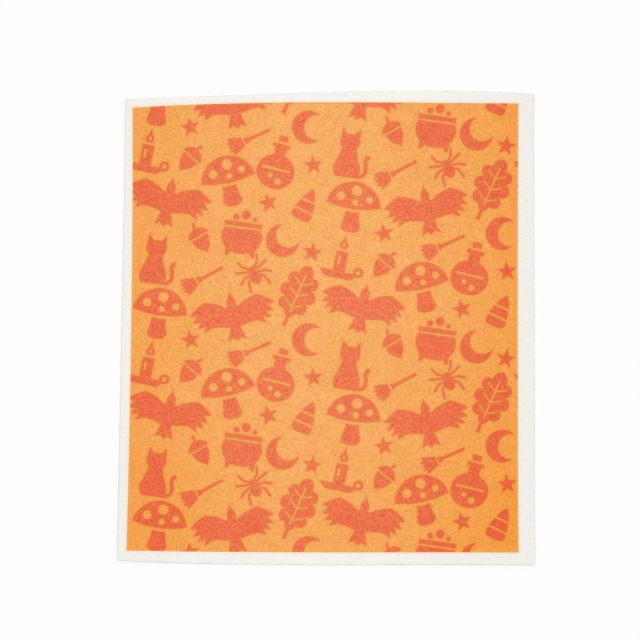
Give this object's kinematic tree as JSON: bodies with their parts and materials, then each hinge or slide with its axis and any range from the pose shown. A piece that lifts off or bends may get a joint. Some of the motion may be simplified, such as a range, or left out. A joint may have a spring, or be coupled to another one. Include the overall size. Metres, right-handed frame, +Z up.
{
  "type": "sponge cloth",
  "caption": "Thin rectangular cleaning cloth of cellulose sponge, lying flat with slightly curled corners, printed on one side inside a bare border.",
  "frame": {"origin": "middle of the bounding box, on the underside, where the cloth meets the table", "axes": "+Z up out of the printed side, +Y up the print along the cloth's long side, +X to the right across the print"},
  "size_m": [0.1768, 0.201, 0.0043],
  "materials": {
    "printed_sponge": "matt off-white cellulose sponge, printed on its upper side with an orange ground and red-orange figures"
  },
  "bodies": {
    "root": {"sponge_cloth": "printed_sponge"}
  },
  "joints": []
}
